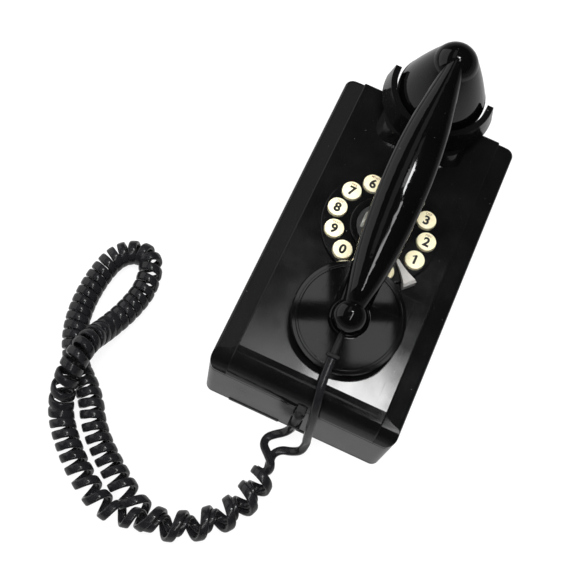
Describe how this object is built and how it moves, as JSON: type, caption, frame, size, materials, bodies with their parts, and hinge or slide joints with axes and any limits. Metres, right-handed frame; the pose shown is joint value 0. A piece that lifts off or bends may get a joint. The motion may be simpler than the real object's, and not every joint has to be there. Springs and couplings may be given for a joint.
{
  "type": "wall telephone",
  "caption": "Wall telephone with push-buttons set round a mock rotary dial, a handset lying in a cradle fork, and a curly cord.",
  "frame": {"origin": "centre of the back face, which lies on the wall or the table", "axes": "+Z out of the back, +Y along the body towards the receiver, +X across the body"},
  "size_m": [0.2445, 0.3915, 0.139],
  "materials": {
    "shell": "polished black",
    "housing": "satin black",
    "plate": "moulded black",
    "socket": "moulded dark grey",
    "relief": "moulded black",
    "cord": "smooth black sheath",
    "button": "polished cream",
    "stop": "bright plated",
    "card": "printed card",
    "window": "clear plastic",
    "screw": "zinc plated",
    "mat": "moulded grey",
    "board": "coated laminate",
    "plunger": "moulded white",
    "switch": "moulded black",
    "ringer": "drawn can",
    "capsule": "drawn can"
  },
  "bodies": {
    "base": {"front_cover": "shell", "dial_plate": "shell", "hub_ring": "shell", "cradle_fork": "shell", "base_housing": "housing", "back_plate": "plate", "line_socket": "socket", "base_strain_relief": "relief", "curly_cord": "cord", "base_lead": "cord", "finger_stop": "stop", "number_card": "card", "card_window": "window", "cover_screws": "screw", "keypad_screws": "screw", "cradle_screws": "screw", "board_screws": "screw", "keypad_mat": "mat", "keypad_board": "board", "main_board": "board", "hook_switch": "switch", "ringer": "ringer"},
    "key_1": {"button_1": "button"},
    "key_2": {"button_2": "button"},
    "key_3": {"button_3": "button"},
    "key_4": {"button_4": "button"},
    "key_5": {"button_5": "button"},
    "key_6": {"button_6": "button"},
    "key_7": {"button_7": "button"},
    "key_8": {"button_8": "button"},
    "key_9": {"button_9": "button"},
    "key_0": {"button_0": "button"},
    "key_star": {"button_star": "button"},
    "key_hash": {"button_hash": "button"},
    "plunger": {"hook_plunger": "plunger"},
    "handset": {"handset_body": "shell", "ear_cap": "shell", "mouth_cap": "shell", "receiver_capsule": "capsule", "microphone_capsule": "capsule", "handset_strain_relief": "relief", "handset_lead": "cord"}
  },
  "joints": [
    {"name": "press_1", "type": "slide", "parent": "base", "child": "key_1", "axis": [0, 0, -1], "range_m": [0, 0.002], "stiffness_N_per_m": 400},
    {"name": "press_2", "type": "slide", "parent": "base", "child": "key_2", "axis": [0, 0, -1], "range_m": [0, 0.002], "stiffness_N_per_m": 400},
    {"name": "press_3", "type": "slide", "parent": "base", "child": "key_3", "axis": [0, 0, -1], "range_m": [0, 0.002], "stiffness_N_per_m": 400},
    {"name": "press_4", "type": "slide", "parent": "base", "child": "key_4", "axis": [0, 0, -1], "range_m": [0, 0.002], "stiffness_N_per_m": 400},
    {"name": "press_5", "type": "slide", "parent": "base", "child": "key_5", "axis": [0, 0, -1], "range_m": [0, 0.002], "stiffness_N_per_m": 400},
    {"name": "press_6", "type": "slide", "parent": "base", "child": "key_6", "axis": [0, 0, -1], "range_m": [0, 0.002], "stiffness_N_per_m": 400},
    {"name": "press_7", "type": "slide", "parent": "base", "child": "key_7", "axis": [0, 0, -1], "range_m": [0, 0.002], "stiffness_N_per_m": 400},
    {"name": "press_8", "type": "slide", "parent": "base", "child": "key_8", "axis": [0, 0, -1], "range_m": [0, 0.002], "stiffness_N_per_m": 400},
    {"name": "press_9", "type": "slide", "parent": "base", "child": "key_9", "axis": [0, 0, -1], "range_m": [0, 0.002], "stiffness_N_per_m": 400},
    {"name": "press_0", "type": "slide", "parent": "base", "child": "key_0", "axis": [0, 0, -1], "range_m": [0, 0.002], "stiffness_N_per_m": 400},
    {"name": "press_star", "type": "slide", "parent": "base", "child": "key_star", "axis": [0, 0, -1], "range_m": [0, 0.002], "stiffness_N_per_m": 400},
    {"name": "press_hash", "type": "slide", "parent": "base", "child": "key_hash", "axis": [0, 0, -1], "range_m": [0, 0.002], "stiffness_N_per_m": 400},
    {"name": "handset_lift", "type": "slide", "parent": "base", "child": "handset", "axis": [0, 0, 1], "range_m": [0, 0.06], "deforming": ["handset_lead"]},
    {"name": "plunger_rise", "type": "slide", "parent": "base", "child": "plunger", "axis": [0, 0, 1], "range_m": [0, 0.003]}
  ],
  "couplings": [
    {"joint": "plunger_rise", "follows": "handset_lift", "ratio": 0.05}
  ]
}
